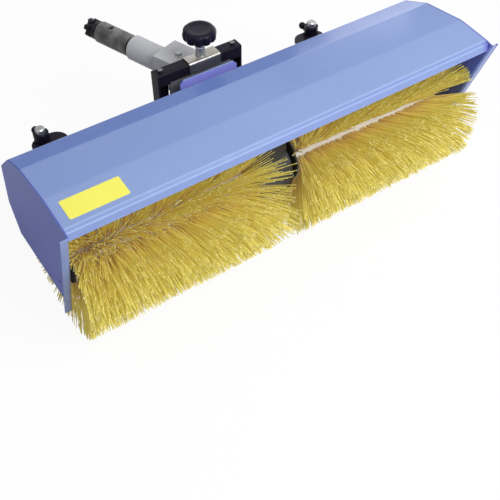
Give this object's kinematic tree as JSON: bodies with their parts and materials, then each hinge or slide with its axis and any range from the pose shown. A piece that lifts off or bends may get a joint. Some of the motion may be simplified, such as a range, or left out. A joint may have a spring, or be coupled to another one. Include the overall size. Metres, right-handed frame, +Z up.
{
  "type": "power brush sweeper",
  "caption": "Power sweeper with a folded hood over a two-part roller brush, a worm gearbox, a swivelling drive head with clamp knob and two height-adjustable rear castors.",
  "frame": {"origin": "on the ground below the middle of the whole part, between the brush tips in front and the drive dog behind", "axes": "+X along the brush, +Y back to the tractor, +Z up"},
  "size_m": [1.037, 0.7819, 0.4093],
  "materials": {
    "blue_paint": "gloss",
    "black_paint": "satin",
    "zinc": "satin",
    "bright_steel": "bright",
    "dark_steel": "satin",
    "black_steel": "satin",
    "grey_casting": "satin",
    "gear_casting": "matt",
    "bronze": "machined",
    "bristle": "matt",
    "core": "matt",
    "black_plastic": "satin",
    "seal_rubber": "matt",
    "tyre_rubber": "matt",
    "rim_plastic": "satin"
  },
  "bodies": {
    "housing": {"hood_shell": "blue_paint", "left_end_plate": "blue_paint", "right_end_plate": "blue_paint", "rear_guard": "blue_paint", "portal_lugs": "blue_paint", "portal_posts": "black_paint", "portal_bar": "black_paint", "front_plate": "zinc", "frame_bolts": "black_steel", "swivel_housing": "gear_casting", "drive_neck": "dark_steel", "gearbox_case": "gear_casting", "left_cover": "gear_casting", "right_cover": "gear_casting", "cover_bolts": "bright_steel", "shaft_bearings": "bright_steel", "shaft_seals": "seal_rubber", "worm_bearings": "bright_steel", "left_bracket": "black_paint", "right_bracket": "black_paint"},
    "brush": {"brush_shaft": "bright_steel", "worm_wheel": "bronze", "wheel_key": "bright_steel", "left_core": "core", "right_core": "core", "left_bristles": "bristle", "right_bristles": "bristle", "inner_hubs": "gear_casting", "outer_hubs": "gear_casting", "hub_pins": "bright_steel", "shaft_end_bolts": "bright_steel"},
    "worm_train": {"worm_shaft": "bright_steel", "worm": "bright_steel", "drive_cup": "bright_steel"},
    "head": {"head_casting": "grey_casting", "spigot": "dark_steel", "pivot_pins": "bright_steel", "input_bearings": "bright_steel", "input_seal": "seal_rubber", "filler_plug": "bright_steel", "clamp_stud": "bright_steel"},
    "input_train": {"input_shaft": "bright_steel", "joint_pin": "bright_steel", "drive_dog": "black_steel"},
    "saddle_body": {"saddle": "zinc"},
    "knob_body": {"star_knob": "black_plastic", "knob_nut": "bright_steel"},
    "left_leg": {"left_stem": "bright_steel"},
    "left_clamp": {"left_clamp_screw": "black_plastic"},
    "left_castor": {"left_fork": "zinc", "left_axle": "bright_steel"},
    "left_wheel": {"left_rim": "rim_plastic", "left_tyre": "tyre_rubber"},
    "right_leg": {"right_stem": "bright_steel"},
    "right_clamp": {"right_clamp_screw": "black_plastic"},
    "right_castor": {"right_fork": "zinc", "right_axle": "bright_steel"},
    "right_wheel": {"right_rim": "rim_plastic", "right_tyre": "tyre_rubber"}
  },
  "joints": [
    {"name": "brush_spin", "type": "hinge", "parent": "housing", "child": "brush", "pos_m": [0, -0.21107, 0.18], "axis": [1, 0, 0], "continuous": true},
    {"name": "worm_spin", "type": "hinge", "parent": "housing", "child": "worm_train", "pos_m": [0, -0.21107, 0.262], "axis": [0, 1, 0], "continuous": true},
    {"name": "head_swivel", "type": "hinge", "parent": "housing", "child": "head", "pos_m": [0, 0.07293, 0.262], "axis": [0, 0, 1], "range_deg": [-37.72, 0]},
    {"name": "input_spin", "type": "hinge", "parent": "head", "child": "input_train", "pos_m": [0, 0.07293, 0.262], "axis": [-0.3233, 0.9463, 0], "continuous": true},
    {"name": "saddle_slide", "type": "slide", "parent": "housing", "child": "saddle_body", "axis": [1, 0, 0], "range_m": [-0.0238, 0.0005]},
    {"name": "knob_turn", "type": "hinge", "parent": "head", "child": "knob_body", "pos_m": [0.01164, 0.03886, 0.348], "axis": [0, 0, 1], "range_deg": [0, 360]},
    {"name": "left_leg_slide", "type": "slide", "parent": "housing", "child": "left_leg", "axis": [0, 0, 1], "range_m": [-0.03, 0.04]},
    {"name": "left_clamp_turn", "type": "hinge", "parent": "housing", "child": "left_clamp", "pos_m": [-0.3765, 0.13093, 0.226], "axis": [0, 1, 0], "range_deg": [0, 360]},
    {"name": "left_castor_swivel", "type": "hinge", "parent": "left_leg", "child": "left_castor", "pos_m": [-0.3765, 0.09393, 0.115], "axis": [0, 0, 1], "continuous": true},
    {"name": "left_wheel_roll", "type": "hinge", "parent": "left_castor", "child": "left_wheel", "pos_m": [-0.3765, 0.12893, 0.05], "axis": [1, 0, 0], "continuous": true},
    {"name": "right_leg_slide", "type": "slide", "parent": "housing", "child": "right_leg", "axis": [0, 0, 1], "range_m": [-0.03, 0.04]},
    {"name": "right_clamp_turn", "type": "hinge", "parent": "housing", "child": "right_clamp", "pos_m": [0.3765, 0.13093, 0.226], "axis": [0, 1, 0], "range_deg": [0, 360]},
    {"name": "right_castor_swivel", "type": "hinge", "parent": "right_leg", "child": "right_castor", "pos_m": [0.3765, 0.09393, 0.115], "axis": [0, 0, 1], "continuous": true},
    {"name": "right_wheel_roll", "type": "hinge", "parent": "right_castor", "child": "right_wheel", "pos_m": [0.3765, 0.12893, 0.05], "axis": [1, 0, 0], "continuous": true}
  ],
  "couplings": [
    {"joint": "worm_spin", "follows": "brush_spin", "ratio": -7},
    {"joint": "input_spin", "follows": "brush_spin", "ratio": -7},
    {"joint": "saddle_slide", "follows": "head_swivel", "m_per_rad": 0.035353}
  ]
}
